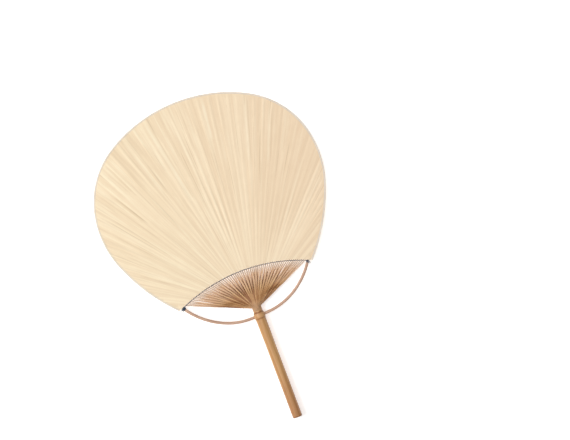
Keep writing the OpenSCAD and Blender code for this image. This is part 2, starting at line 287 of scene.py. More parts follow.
def fix_normals(me):
    bm = bmesh.new()
    bm.from_mesh(me)
    bmesh.ops.recalc_face_normals(bm, faces=bm.faces)
    bm.to_mesh(me)
    bm.free()


def shade(me, angle=None):
    me.polygons.foreach_set("use_smooth", np.ones(len(me.polygons), bool))
    if angle:
        bm = bmesh.new()
        bm.from_mesh(me)
        lim = math.radians(angle)
        for e in bm.edges:
            e.smooth = not (len(e.link_faces) == 2 and e.calc_face_angle(0.0) > lim)
        bm.to_mesh(me)
        bm.free()
    me.update()


def tube_faces(m, n, start=0, caps=True, closed=False):
    """Quads between m rings of n points, with end caps."""
    f = []
    for i in range(m if closed else m - 1):
        a, b = start + i * n, start + ((i + 1) % m) * n
        for k in range(n):
            k2 = (k + 1) % n
            f.append((a + k, a + k2, b + k2, b + k))
    if caps and not closed:
        f.append(tuple(start + k for k in range(n))[::-1])
        f.append(tuple(start + (m - 1) * n + k for k in range(n)))
    return f


def path_frames(P, up):
    t = np.gradient(P, axis=0)
    t = unit(t)
    x = unit(up - (up * t).sum(1, keepdims=True) * t)
    return t, x, np.cross(t, x)


def rings_round(P, up, r, n):
    t, x, y = path_frames(P, up)
    a = np.arange(n) * 2 * PI / n
    r = np.broadcast_to(np.asarray(r, float), (len(P),))
    return (P[:, None] + r[:, None, None] * (np.cos(a)[None, :, None] * x[:, None] + np.sin(a)[None, :, None] * y[:, None])).reshape(-1, 3)


def resample3(P, step, extra=None):
    s = np.r_[0, np.cumsum(np.linalg.norm(np.diff(P, axis=0), axis=1))]
    n = max(4, int(round(s[-1] / step)) + 1)
    t = np.linspace(0, s[-1], n)
    Q = np.stack([np.interp(t, s, P[:, k]) for k in range(3)], -1)
    if extra is None:
        return Q, t
    E = np.stack([np.interp(t, s, extra[:, k]) for k in range(3)], -1)
    return Q, t, unit(E)


def catmull(P, n):
    """A smooth curve through the points, n samples a span."""
    P = np.asarray(P, float)
    Q = np.vstack([2 * P[0] - P[1], P, 2 * P[-1] - P[-2]])
    out = []
    for i in range(1, len(Q) - 2):
        t = np.arange(n)[:, None] / n
        a, b, c, d = Q[i - 1], Q[i], Q[i + 1], Q[i + 2]
        out.append(0.5 * (2 * b + (c - a) * t + (2 * a - 5 * b + 4 * c - d) * t ** 2 + (3 * b - a - 3 * c + d) * t ** 3))
    out.append(P[-1:])
    return np.vstack(out)


def plied(P, up, s, r_total, twist, seed, sides=6, plies=2, flare=None):
    """Plied thread along a path: two yarns that twist round each other."""
    t, x, y = path_frames(P, up)
    verts, faces, along = [], [], []
    off = r_total * 0.46
    rad = r_total * 0.56
    for k in range(plies):
        ph = 2 * PI * (s / twist + k / plies) + 0.5 * wave1(s / 5.0, seed)
        o = off * np.ones(len(P)) if flare is None else off * flare
        C = P + o[:, None] * (np.cos(ph)[:, None] * x + np.sin(ph)[:, None] * y)
        rr = rad * (1 + 0.07 * wave1(s / 0.7, seed + 3 * k + 1))
        start = sum(len(v) for v in verts)
        verts.append(rings_round(C, x, rr, sides))
        faces += tube_faces(len(P), sides, start)
        al = np.zeros((len(P), sides, 3))
        al[..., 0] = s[:, None]
        al[..., 1] = (np.arange(sides) / sides)[None]
        al[..., 2] = (k + 0.37 * seed) % 1.0
        along.append(al.reshape(-1, 3))
    return np.vstack(verts), faces, np.vstack(along)


def merge(parts):
    V, F, A, n = [], [], [], 0
    for v, f, a in parts:
        V.append(v)
        A.append(a)
        F += [tuple(i + n for i in q) for q in f]
        n += len(v)
    return np.vstack(V), F, np.vstack(A)


# ------------------------------------------------------------------ materials
def srgb(r, g, b):
    def lin(c):
        c /= 255.0
        return c / 12.92 if c <= 0.04045 else ((c + 0.055) / 1.055) ** 2.4
    return (lin(r), lin(g), lin(b), 1.0)


class Mat:
    """A small helper for node materials."""

    def __init__(self, name, rough=0.6, spec=0.4, **sockets):
        self.m = bpy.data.materials.new(name)
        self.m.use_nodes = True
        self.nt = self.m.node_tree
        self.nt.nodes.clear()
        self.out = self.nt.nodes.new("ShaderNodeOutputMaterial")
        self.bsdf = self.nt.nodes.new("ShaderNodeBsdfPrincipled")
        self.nt.links.new(self.bsdf.outputs[0], self.out.inputs[0])
        self.bsdf.inputs["Roughness"].default_value = rough
        self.bsdf.inputs["Specular IOR Level"].default_value = spec
        for k, v in sockets.items():
            self.bsdf.inputs[k.replace("_", " ")].default_value = v
        self.bump_in = None

    def node(self, kind, **kw):
        n = self.nt.nodes.new("ShaderNode" + kind)
        for k, v in kw.items():
            setattr(n, k, v)
        return n

    def link(self, a, b): self.nt.links.new(a, b)

    def coords(self, attr=None, scale=(1, 1, 1), loc=(0, 0, 0)):
        mp = self.node("Mapping")
        mp.inputs["Scale"].default_value = scale
        mp.inputs["Location"].default_value = loc
        if attr:
            a = self.node("Attribute", attribute_name=attr)
            self.link(a.outputs["Vector"], mp.inputs["Vector"])
        else:
            t = self.node("TexCoord")
            self.link(t.outputs["Object"], mp.inputs["Vector"])
        return mp.outputs[0]

    def noise(self, vec, scale=1.0, detail=3.0, rough=0.55, distortion=0.0):
        n = self.node("TexNoise")
        n.inputs["Scale"].default_value = scale
        n.inputs["Detail"].default_value = detail
        n.inputs["Roughness"].default_value = rough
        n.inputs["Distortion"].default_value = distortion
        self.link(vec, n.inputs["Vector"])
        return n.outputs["Fac"]

    def voronoi(self, vec, scale=1.0, feature="F1", randomness=1.0):
        n = self.node("TexVoronoi", feature=feature)
        n.inputs["Scale"].default_value = scale
        n.inputs["Randomness"].default_value = randomness
        self.link(vec, n.inputs["Vector"])
        return n.outputs["Distance"]

    def value(self, attr):
        return self.node("Attribute", attribute_name=attr).outputs["Fac"]

    def axis(self, vec, k):
        s = self.node("SeparateXYZ")
        self.link(vec, s.inputs[0])
        return s.outputs[k]

    def math(self, op, a, b=None, clamp=False):
        n = self.node("Math", operation=op, use_clamp=clamp)
        for i, v in enumerate((a, b)):
            if v is None:
                continue
            if isinstance(v, (int, float)):
                n.inputs[i].default_value = v
            else:
                self.link(v, n.inputs[i])
        return n.outputs[0]

    def remap(self, v, a, b, c=0.0, d=1.0, smooth_step=True):
        n = self.node("MapRange", interpolation_type="SMOOTHSTEP" if smooth_step else "LINEAR", clamp=True)
        self.link(v, n.inputs["Value"])
        for k, x in (("From Min", a), ("From Max", b), ("To Min", c), ("To Max", d)):
            n.inputs[k].default_value = x
        return n.outputs["Result"]

    def ramp(self, v, stops, mode="LINEAR"):
        n = self.node("ValToRGB")
        n.color_ramp.interpolation = mode
        e = n.color_ramp.elements
        while len(e) < len(stops):
            e.new(0.5)
        for i, (p, c) in enumerate(stops):
            e[i].position = p
            e[i].color = c
        self.link(v, n.inputs[0])
        return n.outputs[0]

    def mix(self, fac, a, b, mode="MIX"):
        n = self.node("Mix", data_type="RGBA", blend_type=mode, clamp_factor=True)
        if isinstance(fac, (int, float)):
            n.inputs[0].default_value = fac
        else:
            self.link(fac, n.inputs[0])
        for i, v in ((6, a), (7, b)):
            if isinstance(v, tuple):
                n.inputs[i].default_value = v
            else:
                self.link(v, n.inputs[i])
        return n.outputs[2]

    def color(self, c): self.link(c, self.bsdf.inputs["Base Color"])
    def roughness(self, v): self.link(v, self.bsdf.inputs["Roughness"])

    def bump(self, height, strength=0.3, distance=0.0002):
        n = self.node("Bump")
        n.inputs["Strength"].default_value = strength
        n.inputs["Distance"].default_value = distance
        self.link(height, n.inputs["Height"])
        if self.bump_in is not None:
            self.link(self.bump_in, n.inputs["Normal"])
        self.bump_in = n.outputs[0]
        self.link(self.bump_in, self.bsdf.inputs["Normal"])


def paper_material(name, base_c, pale_c, deep_c, seed):
    m = Mat(name, rough=0.86, spec=0.2)
    v = m.coords(loc=(seed, seed * 0.7, 0.0))
    # pc: x is the slot across the blade, y the distance from the neck in mm
    q = m.axis(m.coords("pc"), 1)
    wide = m.noise(m.coords("pc", scale=(0.55, 0.004, 1), loc=(seed, 2.0, 0)), 1.0, 2.0, 0.5)
    mid = m.noise(m.coords("pc", scale=(1.45, 0.007, 1), loc=(3.7 + seed, 0, 0)), 1.0, 2.0, 0.55, 0.12)
    fine = m.noise(m.coords("pc", scale=(3.1, 0.012, 1), loc=(seed, 9.1, 0)), 1.0, 2.0, 0.6, 0.1)
    base = m.mix(m.remap(wide, 0.3, 0.7, 0.0, 0.2), base_c, pale_c)
    # painted highlight on the paper over a rib and painted shade on the sunken paper between ribs, the shade most of
    # all low down
    near = m.remap(q, 60.0, 135.0, 1.0, 0.0)
    base = m.mix(m.math("MULTIPLY", m.remap(m.value("ridge_light_shade"), 0.16, 0.0), m.math("ADD", m.math("MULTIPLY", near, 0.27), 0.13)), base, deep_c)
    base = m.mix(m.math("MULTIPLY", m.value("ridge_light_shade"), m.math("ADD", m.math("MULTIPLY", near, 0.3), 0.4)), base, pale_c)
    # the left of the blade is more streaky than its middle
    amp = m.remap(m.axis(m.coords("pc"), 0), 23.3, 40.8, 0.63, 1.1)
    amp = m.math("MULTIPLY", amp, m.remap(q, 130.0, 185.0, 0.82, 1.05))
    low = m.remap(q, 80.0, 150.0, 0.36, 0.16)
    base = m.mix(m.math("MULTIPLY", m.remap(wide, 0.5, 0.4), low), base, deep_c)
    base = m.mix(m.math("MULTIPLY", m.remap(wide, 0.52, 0.62), low), base, pale_c)
    base = m.mix(m.math("MULTIPLY", m.remap(mid, 0.46, 0.34, 0.0, 0.44), amp), base, deep_c)
    base = m.mix(m.math("MULTIPLY", m.remap(mid, 0.56, 0.67, 0.0, 0.52), amp), base, pale_c)
    base = m.mix(m.math("MULTIPLY", m.remap(fine, 0.46, 0.33, 0.0, 0.46), amp), base, deep_c)
    base = m.mix(m.math("MULTIPLY", m.remap(fine, 0.55, 0.67, 0.0, 0.55), amp), base, pale_c)
    # painted shade in the creases and beside the raised folds, and painted highlight on the folds
    base = m.mix(m.value("crease_shade"), base, srgb(204, 176, 138))
    base = m.mix(m.value("fold_highlight"), base, srgb(255, 243, 216))
    # thin dark lines that run with the ribs
    line = m.noise(m.coords("pc", scale=(3.7, 0.010, 1), loc=(11.0 + seed, 4.0, 0)), 1.0, 1.0, 0.4)
    base = m.mix(m.remap(line, 0.65, 0.73, 0.0, 0.45), base, srgb(212, 190, 158))
    # broken fine flecks along the same direction
    fleck = m.noise(m.coords("pc", scale=(5.2, 0.09, 1), loc=(21.0 + seed, 6.0, 0)), 1.0, 2.0, 0.6)
    base = m.mix(m.remap(fleck, 0.58, 0.7, 0.0, 0.25), base, deep_c)
    # kozo fibres
    f1 = m.noise(m.coords(scale=(420, 2600, 900), loc=(seed, 3.1, 0)), 1.0, 2.0, 0.5, 1.6)
    f2 = m.noise(m.coords(scale=(2400, 380, 900), loc=(1.7, seed, 0)), 1.0, 2.0, 0.5, 1.8)
    fib = m.math("MAXIMUM", m.remap(f1, 0.62, 0.78), m.remap(f2, 0.64, 0.8))
    base = m.mix(m.math("MULTIPLY", fib, 0.25), base, srgb(255, 246, 226))
    cloud = m.noise(v, 60.0, 4.0, 0.6)
    base = m.mix(m.remap(cloud, 0.35, 0.7, 0.0, 0.12), base, deep_c)
    # painted shade: the sheet is painted a little darker and rosier towards the right, where the light falls off
    base = m.mix(m.remap(m.axis(m.coords(), 0), -0.06, 0.12, 0.0, 1.0, False), base, (1.0, 0.955, 0.955, 1.0), "MULTIPLY")
    m.color(base)
    m.roughness(m.remap(cloud, 0.3, 0.7, 0.8, 0.92))
    m.bump(m.noise(v, 1500.0, 3.0, 0.6), 0.35, 0.00004)
    m.bump(fib, 0.3, 0.00003)
    m.bump(fine, 0.3, 0.00010)
    return m.m


def culm_material():
    m = Mat("bamboo_culm", rough=0.42, spec=0.45, Coat_Weight=0.12, Coat_Roughness=0.3)
    o = m.coords()
    y = m.axis(o, 1)
    # fibres run along the culm
    fine = m.noise(m.coords(scale=(1500, 26, 1500)), 1.0, 3.0, 0.6)
    broad = m.noise(m.coords(scale=(330, 9, 330), loc=(2.2, 0.4, 0.9)), 1.0, 3.0, 0.5, 0.3)
    c = m.mix(m.remap(broad, 0.3, 0.7), srgb(189, 137, 83), srgb(216, 170, 114))
    c = m.mix(m.remap(fine, 0.42, 0.7, 0.0, 0.5), c, srgb(172, 116, 68))
    # deeper and redder towards the butt
    c = m.mix(m.remap(y, 0.03, -0.041, 0.0, 0.62), c, srgb(168, 108, 66))
    # mottled ageing
    blotch = m.noise(m.coords(scale=(120, 60, 120), loc=(7.0, 1.0, 3.0)), 1.0, 4.0, 0.6)
    c = m.mix(m.remap(blotch, 0.55, 0.75, 0.0, 0.45), c, srgb(158, 108, 66))
    # the node: pale swelling, dark sheath scar above it and a faint line below
    wob = m.math("MULTIPLY", m.math("SUBTRACT", m.noise(m.coords(scale=(260, 40, 260)), 1.0, 2.0), 0.5), 0.0012)
    yy = m.math("ADD", y, wob)
    n0 = NODE_Y * MM
    swell = m.math("MULTIPLY", m.remap(yy, n0 - 0.0045, n0 - 0.0022), m.remap(yy, n0 + 0.0024, n0 + 0.0008))
    c = m.mix(m.math("MULTIPLY", swell, 0.4), c, srgb(222, 170, 120))
    mottle = m.noise(m.coords(scale=(520, 700, 520), loc=(4.0, 2.0, 1.0)), 1.0, 3.0, 0.6)
    c = m.mix(m.math("MULTIPLY", swell, m.remap(mottle, 0.5, 0.7, 0.0, 0.4)), c, srgb(160, 104, 64))
    scar = m.math("MULTIPLY", m.remap(yy, n0 + 0.0019, n0 + 0.0028), m.remap(yy, n0 + 0.0046, n0 + 0.0034))
    c = m.mix(m.math("MULTIPLY", scar, 0.7), c, srgb(126, 66, 42))
    low = m.math("MULTIPLY", m.remap(yy, n0 - 0.0046, n0 - 0.0038), m.remap(yy, n0 - 0.0026, n0 - 0.0034))
    c = m.mix(m.math("MULTIPLY", low, 0.6), c, srgb(140, 86, 52))
    # hair-fine fibres
    hair = m.noise(m.coords(scale=(5200, 36, 5200), loc=(1.0, 3.0, 2.0)), 1.0, 2.0, 0.6)
    c = m.mix(m.remap(hair, 0.52, 0.72, 0.0, 0.3), c, srgb(150, 100, 58))
    # stain at the cut butt, and the ends of the fibre bundles on its face
    c = m.mix(m.remap(y, -0.0385, -0.0409, 0.0, 0.6), c, srgb(128, 82, 52))
    bundle = m.voronoi(m.coords(scale=(2300, 1, 2300)), 1.0)
    face = m.remap(y, -0.04072, -0.04094)
    c = m.mix(m.math("MULTIPLY", face, 0.6), c, srgb(190, 146, 102))
    c = m.mix(m.math("MULTIPLY", face, m.remap(bundle, 0.42, 0.2, 0.0, 0.75)), c, srgb(98, 60, 38))
    m.color(c)
    m.roughness(m.remap(broad, 0.3, 0.7, 0.36, 0.52))
    m.bump(fine, 0.3, 0.00006)
    m.bump(broad, 0.2, 0.00012)
    return m.m


def plug_material():
    m = Mat("plug_softwood", rough=0.75, spec=0.25)
    o = m.coords(scale=(1, 1, 1), loc=(0.0013, 0, -0.0022))
    d = m.node("VectorMath", operation="LENGTH")
    mp = m.node("Mapping")
    mp.inputs["Scale"].default_value = (1, 0, 1)
    m.link(o, mp.inputs[0])
    m.link(mp.outputs[0], d.inputs[0])
    rings = m.math("SINE", m.math("ADD", m.math("MULTIPLY", d.outputs["Value"], 8200.0), m.math("MULTIPLY", m.noise(o, 520.0, 3.0), 6.5)))
    c = m.mix(m.remap(rings, -0.2, 1.0), srgb(204, 166, 122), srgb(178, 134, 92))
    pores = m.voronoi(m.coords(scale=(4200, 60, 4200)), 1.0)
    c = m.mix(m.remap(pores, 0.3, 0.1, 0.0, 0.5), c, srgb(112, 76, 48))
    m.color(c)
    m.bump(pores, 0.3, 0.00006)
    return m.m


def rib_material(name, pale, deep, old, spread_light, collar, gap_shade):
    m = Mat(name, rough=0.5, spec=0.38)
    rc = m.coords("rc")                       # x along in mm, y across in mm, z random of the rib
    q = m.axis(rc, 0)
    rnd = m.axis(rc, 2)
    streak = m.noise(m.coords("rc", scale=(0.05, 7.0, 61.0)), 1.0, 3.0, 0.6)
    fine = m.noise(m.coords("rc", scale=(0.35, 22.0, 61.0)), 1.0, 2.0, 0.6)
    c = m.mix(m.remap(rnd, 0.0, 1.0, 0.0, 1.0, False), deep, pale)
    c = m.mix(m.remap(streak, 0.35, 0.68, 0.0, 0.7), c, old)
    c = m.mix(m.remap(fine, 0.5, 0.75, 0.0, 0.35), c, srgb(236, 206, 168))
    # painted light: paler where they spread out of the crowded, shaded zone near the neck; darker towards the neck
    # painted shade: some strips are painted dark, standing in for the shaded gaps between them, strongest halfway out
    t = m.value("tt")
    cut = m.math("MULTIPLY", m.remap(rnd, 0.30, 0.18, 0.0, gap_shade), m.math("MULTIPLY", m.remap(t, 0.06, 0.2), m.remap(t, 0.86, 0.55)))
    c = m.mix(cut, c, srgb(132, 76, 40))
    c = m.mix(m.remap(t, 0.4, 0.78, 0.0, 0.8), c, spread_light)
    c = m.mix(m.math("MULTIPLY", m.remap(t, 0.08, 0.2), m.remap(t, 0.5, 0.34, 0.0, 0.22)), c, old)
    # painted shade: the tips are painted greyer, standing in for the shade under and between them
    c = m.mix(m.remap(t, 0.82, 0.96, 0.0, 0.55), c, srgb(200, 182, 166))
    c = m.mix(m.remap(q, 8.5, 0.5, 0.0, collar), c, srgb(200, 158, 120))
    m.color(c)
    m.bump(fine, 0.4, 0.00005)
    m.bump(streak, 0.3, 0.00008)
    return m.m


def bow_material():
    m = Mat("bow_stick", rough=0.5, spec=0.4)
    streak = m.noise(m.coords("rc", scale=(0.03, 2.6, 9.0)), 1.0, 4.0, 0.6)
    fine = m.noise(m.coords("rc", scale=(0.4, 14.0, 9.0)), 1.0, 3.0, 0.6)
    patch = m.noise(m.coords("rc", scale=(0.09, 0.5, 3.0)), 1.0, 3.0, 0.5)
    c = m.mix(m.remap(streak, 0.34, 0.68), srgb(216, 178, 155), srgb(184, 146, 124))
    c = m.mix(m.remap(fine, 0.54, 0.78, 0.0, 0.4), c, srgb(150, 108, 84))
    c = m.mix(m.remap(patch, 0.5, 0.72, 0.0, 0.4), c, srgb(214, 182, 156))
    m.color(c)
    m.bump(fine, 0.35, 0.00006)
    m.bump(streak, 0.3, 0.0001)
    return m.m


def thread_material(name, dark, light):
    m = Mat(name, rough=0.82, spec=0.2, Sheen_Weight=0.35, Sheen_Roughness=0.5)
    f = m.noise(m.coords("rc", scale=(3.0, 9.0, 5.0)), 1.0, 3.0, 0.65, 0.8)
    g = m.noise(m.coords("rc", scale=(0.12, 0.3, 5.0)), 1.0, 2.0)
    c = m.mix(m.remap(f, 0.32, 0.7), dark, light)
    c = m.mix(m.remap(g, 0.45, 0.7, 0.0, 0.4), c, light)
    m.color(c)
    m.bump(f, 0.6, 0.00004)
    return m.m


def binding_material():
    m = Mat("binding_paper", rough=0.84, spec=0.22)
    v = m.coords()
    cloud = m.noise(v, 70.0, 4.0, 0.6)
    c = m.mix(m.remap(cloud, 0.35, 0.68), srgb(231, 219, 205), srgb(242, 231, 218))
    # painted shade: a shadow line along the strip's inner edges, and the turned rim a little greyer
    edge = m.value("edge_shade_grey")
    c = m.mix(m.math("MULTIPLY", edge, 0.5), c, srgb(212, 195, 176))
    spots = m.remap(m.noise(v, 900.0, 3.0, 0.6), 0.62, 0.78)
    c = m.mix(m.math("MULTIPLY", spots, 0.35), c, srgb(188, 170, 140))
    m.color(c)
    m.bump(m.noise(v, 1400.0, 3.0, 0.6), 0.35, 0.00004)
    m.bump(cloud, 0.2, 0.0001)
    return m.m


M_FRONT = paper_material("paper_front", srgb(249, 228, 196), srgb(255, 240, 211), srgb(233, 210, 178), 0.0)
M_BACK = paper_material("paper_back", srgb(248, 227, 195), srgb(254, 239, 210), srgb(232, 209, 177), 4.3)
M_CULM = culm_material()
M_PLUG = plug_material()
M_RIB_F = rib_material("rib_front", srgb(230, 184, 130), srgb(184, 132, 84), srgb(142, 90, 48), srgb(226, 188, 154), 0.85, 0.6)
# painted shade: the back ribs are the same bamboo as the front ones, coloured darker as if in shadow
M_RIB_B_SHADED = rib_material("rib_back", srgb(178, 126, 78), srgb(136, 86, 48), srgb(118, 70, 38), srgb(214, 176, 144), 0.6, 0.25)
M_BOW = bow_material()
M_WEAVE = thread_material("weaving_cotton", srgb(52, 62, 78), srgb(104, 112, 122))
M_TIE = thread_material("tie_cotton", srgb(42, 58, 78), srgb(92, 110, 130))
M_BIND = binding_material()


# ---------------------------------------------------------------------- papers
RIB_L = []       # angle, from ARC_C, at which each rib passes the paper's lower edge
RIB_U = []       # length along the rim at which each rib's line meets it
for s in range(SLOTS):
    p, d = rib_root(s), rib_dir(s)
    k = p - ARC_C
    b = (k * d).sum()
    t = -b + math.sqrt(b * b - (k * k).sum() + PAPER_R ** 2)
    e = p + d * t - ARC_C
    RIB_L.append(math.degrees(math.atan2(e[0], e[1])))
    a, ev = RIM[:-1], np.diff(RIM, axis=0)
    den = d[0] * ev[:, 1] - d[1] * ev[:, 0]
    den = np.where(abs(den) < 1e-12, 1e-12, den)
    tt = ((a[:, 0] - p[0]) * ev[:, 1] - (a[:, 1] - p[1]) * ev[:, 0]) / den
    uu = ((a[:, 0] - p[0]) * d[1] - (a[:, 1] - p[1]) * d[0]) / den
    ok = np.where((uu >= 0) & (uu <= 1) & (tt > t + 1))[0][-1]
    RIB_U.append(RIM_S[ok] + uu[ok] * (RIM_S[ok + 1] - RIM_S[ok]))
RIB_L, RIB_U = np.array(RIB_L), np.array(RIB_U)
c_l, c_r = RIM[0] - ARC_C, RIM[-1] - ARC_C
PSI_LEFT, PSI_RIGHT = math.degrees(math.atan2(c_l[0], c_l[1])), math.degrees(math.atan2(c_r[0], c_r[1]))
ANGLE = np.array([slot_angle(s) for s in range(SLOTS)])
# How strongly the paper over each rib is painted with its ridge highlight and the shade beside it
RIB_AMP = 0.25 + 0.75 * hash01(np.arange(SLOTS), 5) ** 0.8
# Creases of the front paper: slot, from and to (mm from the neck), half width in
# mm, strength; a positive strength sinks the paper and paints shade into the crease, a negative strength is a raised
# fold painted with a highlight and a shadow line on its right
CREASES = [(42.36, 140, 194, 0.65, 1), (40.31, 170, 222, 0.6, 0.5), (41.39, 176, 216, 0.8, 0.3), (34.49, 128, 228, 1.6, -0.65), (28.69, 180, 230, 0.8, -0.85),
           (30.71, 196, 233, 0.5, 0.35), (30.17, 190, 233, 0.5, 0.35), (29.57, 186, 232, 0.5, 0.35), (31.35, 196, 230, 0.5, 0.3), (24.1, 150, 226, 1.6, -0.45),
           (21.11, 150, 216, 1.2, -0.4), (19.37, 160, 212, 1.2, -0.4), (37.29, 150, 232, 1.3, -0.4), (32.09, 165, 226, 1.1, -0.3), (39.03, 110, 200, 0.7, 0.3),
           (43.41, 120, 205, 0.7, 0.32), (45.31, 100, 180, 0.7, 0.34), (47.64, 95, 170, 0.8, 0.3), (50.42, 90, 150, 0.8, 0.3), (36.1, 120, 215, 0.7, 0.28),
           (16.24, 90, 165, 1, -0.3), (12.02, 80, 150, 0.9, -0.28), (26.42, 110, 190, 0.7, 0.2), (53.81, 84, 128, 0.8, 0.3), (46.38, 120, 190, 1.2, -0.35)]


def blade_sheet(name, node, sign, seed, material):
    # columns: slots counted from the right corner zone to the left one
    cols_u = []
    nc = 15
    cols_u += [-1 + k / nc for k in range(nc)]
    fr = [0, 0.035, 0.08, 0.15, 0.25, 0.4, 0.6, 0.75, 0.85, 0.92, 0.965]
    for s in range(SLOTS - 1):
        cols_u += [s + f for f in fr]
    cols_u += [SLOTS - 1 + k / nc for k in range(nc + 1)]
    U = np.array(cols_u)
    key = np.arange(-1, SLOTS + 1)
    psi = np.interp(U, key, np.r_[PSI_RIGHT, RIB_L, PSI_LEFT])
    sr = np.interp(U, key, np.r_[RIM_S[-1], RIB_U, 0.0])
    low, top = on_arc(psi, PAPER_R), rim_at(sr)
    # cut edges aren't perfect
    length = np.linalg.norm(top - low, axis=1)
    trim = 0.07 * wave1(psi * 1.9, seed + 1) + 0.04 * wave1(psi * 7.0, seed + 2)
    v = np.r_[0, 0.004, 0.01, np.linspace(0.025, 0.93, 34), 0.95, 0.965, 0.978, 0.988, 0.995, 1.0]
    rows = []
    for vv in v:
        rows.append(low + (top - low) * vv)
    G = np.array(rows)                                    # rows x columns x 2
    nrow, ncol = G.shape[:2]
    inward = unit(top - low + 1e-9)
    fade = np.clip(length / 6, 0, 1)
    G += (np.abs(trim) * fade)[None, :, None] * inward[None] * (1 - v)[:, None, None]
    # distance of every point from its nearest rib, in mm
    near = np.clip(np.round(U), 0, SLOTS - 1).astype(int)
    root = np.array([rib_root(s) for s in range(SLOTS)])
    dirs = np.array([rib_dir(s) for s in range(SLOTS)])
    X = G - root[near][None]
    dn = dirs[near]
    q = (X * dn[None]).sum(-1)
    w = np.abs(X[..., 0] * dn[None, :, 1] - X[..., 1] * dn[None, :, 0])
    half = WIDE[near][None] / 2 * (1 - 0.25 * smooth(0, 150, q - RIB_T_LEN[near][None])) + 0.05
    over = 1 - smooth(half, half + 1.5, w)
    over *= smooth(RIB_REACH[near][None] + 1.8, RIB_REACH[near][None] - 0.8, q)
    lean = np.clip(0.62 + 0.5 * wave2(U[None] / 3.1 + 0 * q, q / 75.0, seed + 9), 0.15, 1)
    amp = RIB_AMP[near][None] * lean
    # the bow's tongue lifts the paper at the two lower corners
    for right in (True, False):
        a, b = bow_at(MEET[right] - 0.5, right), bow_at(MEET[right] + TONGUE, right)
        e = b - a
        t = np.clip(((G - a) * e).sum(-1) / (e @ e), 0, 1)
        dist = np.linalg.norm(G - (a + t[..., None] * e), axis=-1)
        over = np.maximum(over, 1 - smooth(0.9, 2.4, dist))
    # papers sink towards each other between the ribs
    valley = 0.485 - 0.29 * lean * (0.75 + 0.25 * wave2(U[None] * 0.9 + 0 * q, q / 60.0, seed + 4))
    z = valley + (0.5 - valley) * over
    # fine pulls in the paper between the ribs, all running with the ribs
    pitch = np.clip((q / RIB_T_LEN[near][None] - 1) / 3.0, 0.12, 1)
    z += (0.02 * wave2(U[None] * 2.3 + 0 * q, q / 60.0, seed + 21) + 0.012 * wave2(U[None] * 4.6 + 0 * q, q / 34.0, seed + 22)) * pitch * (1 - over)
    z = np.minimum(z, 0.505)
    crease_shade, fold_highlight = np.zeros_like(z), np.zeros_like(z)
    if sign > 0:
        for cu, c0, c1, cw, cs in CREASES:
            mm = (U[None] - cu + 0.12 * wave1(q / 70.0, cu)) * q * ANGLE[near][None]
            k = np.exp(-(mm / cw) ** 2) * smooth(c0, c0 + 12, q) * smooth(c1, c1 - 12, q) * (0.8 + 0.2 * wave1(q / 9.0, cu + 1))
            if cs > 0:
                crease_shade = np.maximum(crease_shade, k * cs)
                z -= 0.06 * k * cs
            else:
                fold_highlight = np.maximum(fold_highlight, -k * cs)
                # a pale fold gets a thin painted shadow line on its right
                side = np.exp(-((mm + 1.7 * cw) / (0.6 * cw)) ** 2) * smooth(c0, c0 + 12, q) * smooth(c1, c1 - 12, q)
                crease_shade = np.maximum(crease_shade, -0.5 * cs * side)
                z = np.minimum(z - 0.05 * k * cs, 0.51)
    # flattened under the binding
    rimdist = (1 - v)[:, None] * length[None]
    press = 1 - smooth(1.3, 3.2, rimdist)
    z = z * (1 - press) + (RIM_Z - 0.04) * press
    thick = 0.11
    # where the paper lies on a rib: the material paints a highlight there and shade between ribs
    ridge_light_shade = over * amp * (1 - press)
    pc = np.dstack([U[None] + 0 * q, q, 0 * q]).reshape(-1, 3)
    zt, zb = z, z - thick
    n = nrow * ncol
    P = np.concatenate([np.dstack([G, sign * zt]).reshape(-1, 3), np.dstack([G, sign * zb]).reshape(-1, 3)])
    F = []
    idx = np.arange(n).reshape(nrow, ncol)
    for i in range(nrow - 1):
        for j in range(ncol - 1):
            a, b, c, d_ = idx[i, j], idx[i, j + 1], idx[i + 1, j + 1], idx[i + 1, j]
            F.append((a, b, c, d_))
            F.append((n + d_, n + c, n + b, n + a))
    loop = list(idx[0, :]) + list(idx[1:, -1]) + list(idx[-1, -2::-1]) + list(idx[-2:0:-1, 0])
    for k in range(len(loop)):
        a, b = loop[k], loop[(k + 1) % len(loop)]
        F.append((b, a, n + a, n + b))
    F = [tuple(int(i) for i in f) for f in F]
    ob = make(name, P, F, None, material, {"ridge_light_shade": np.tile(ridge_light_shade.ravel(), 2), "crease_shade": np.tile(crease_shade.ravel(), 2), "fold_highlight": np.tile(fold_highlight.ravel(), 2), "pc": np.tile(pc, (2, 1))}, 40)
    # the corner columns shrink to a point: join what falls together
    bm = bmesh.new()
    bm.from_mesh(ob.data)
    bmesh.ops.remove_doubles(bm, verts=bm.verts, dist=1.2e-5)
    bmesh.ops.dissolve_degenerate(bm, dist=1e-6, edges=bm.edges)
    bmesh.ops.recalc_face_normals(bm, faces=bm.faces)
    bm.to_mesh(ob.data)
    bm.free()
    shade(ob.data, 40)
    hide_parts(node)
    return ob


blade_sheet("front_paper_sheet", "front_paper", 1, 1, M_FRONT)
blade_sheet("back_paper_sheet", "back_paper", -1, 2, M_BACK)


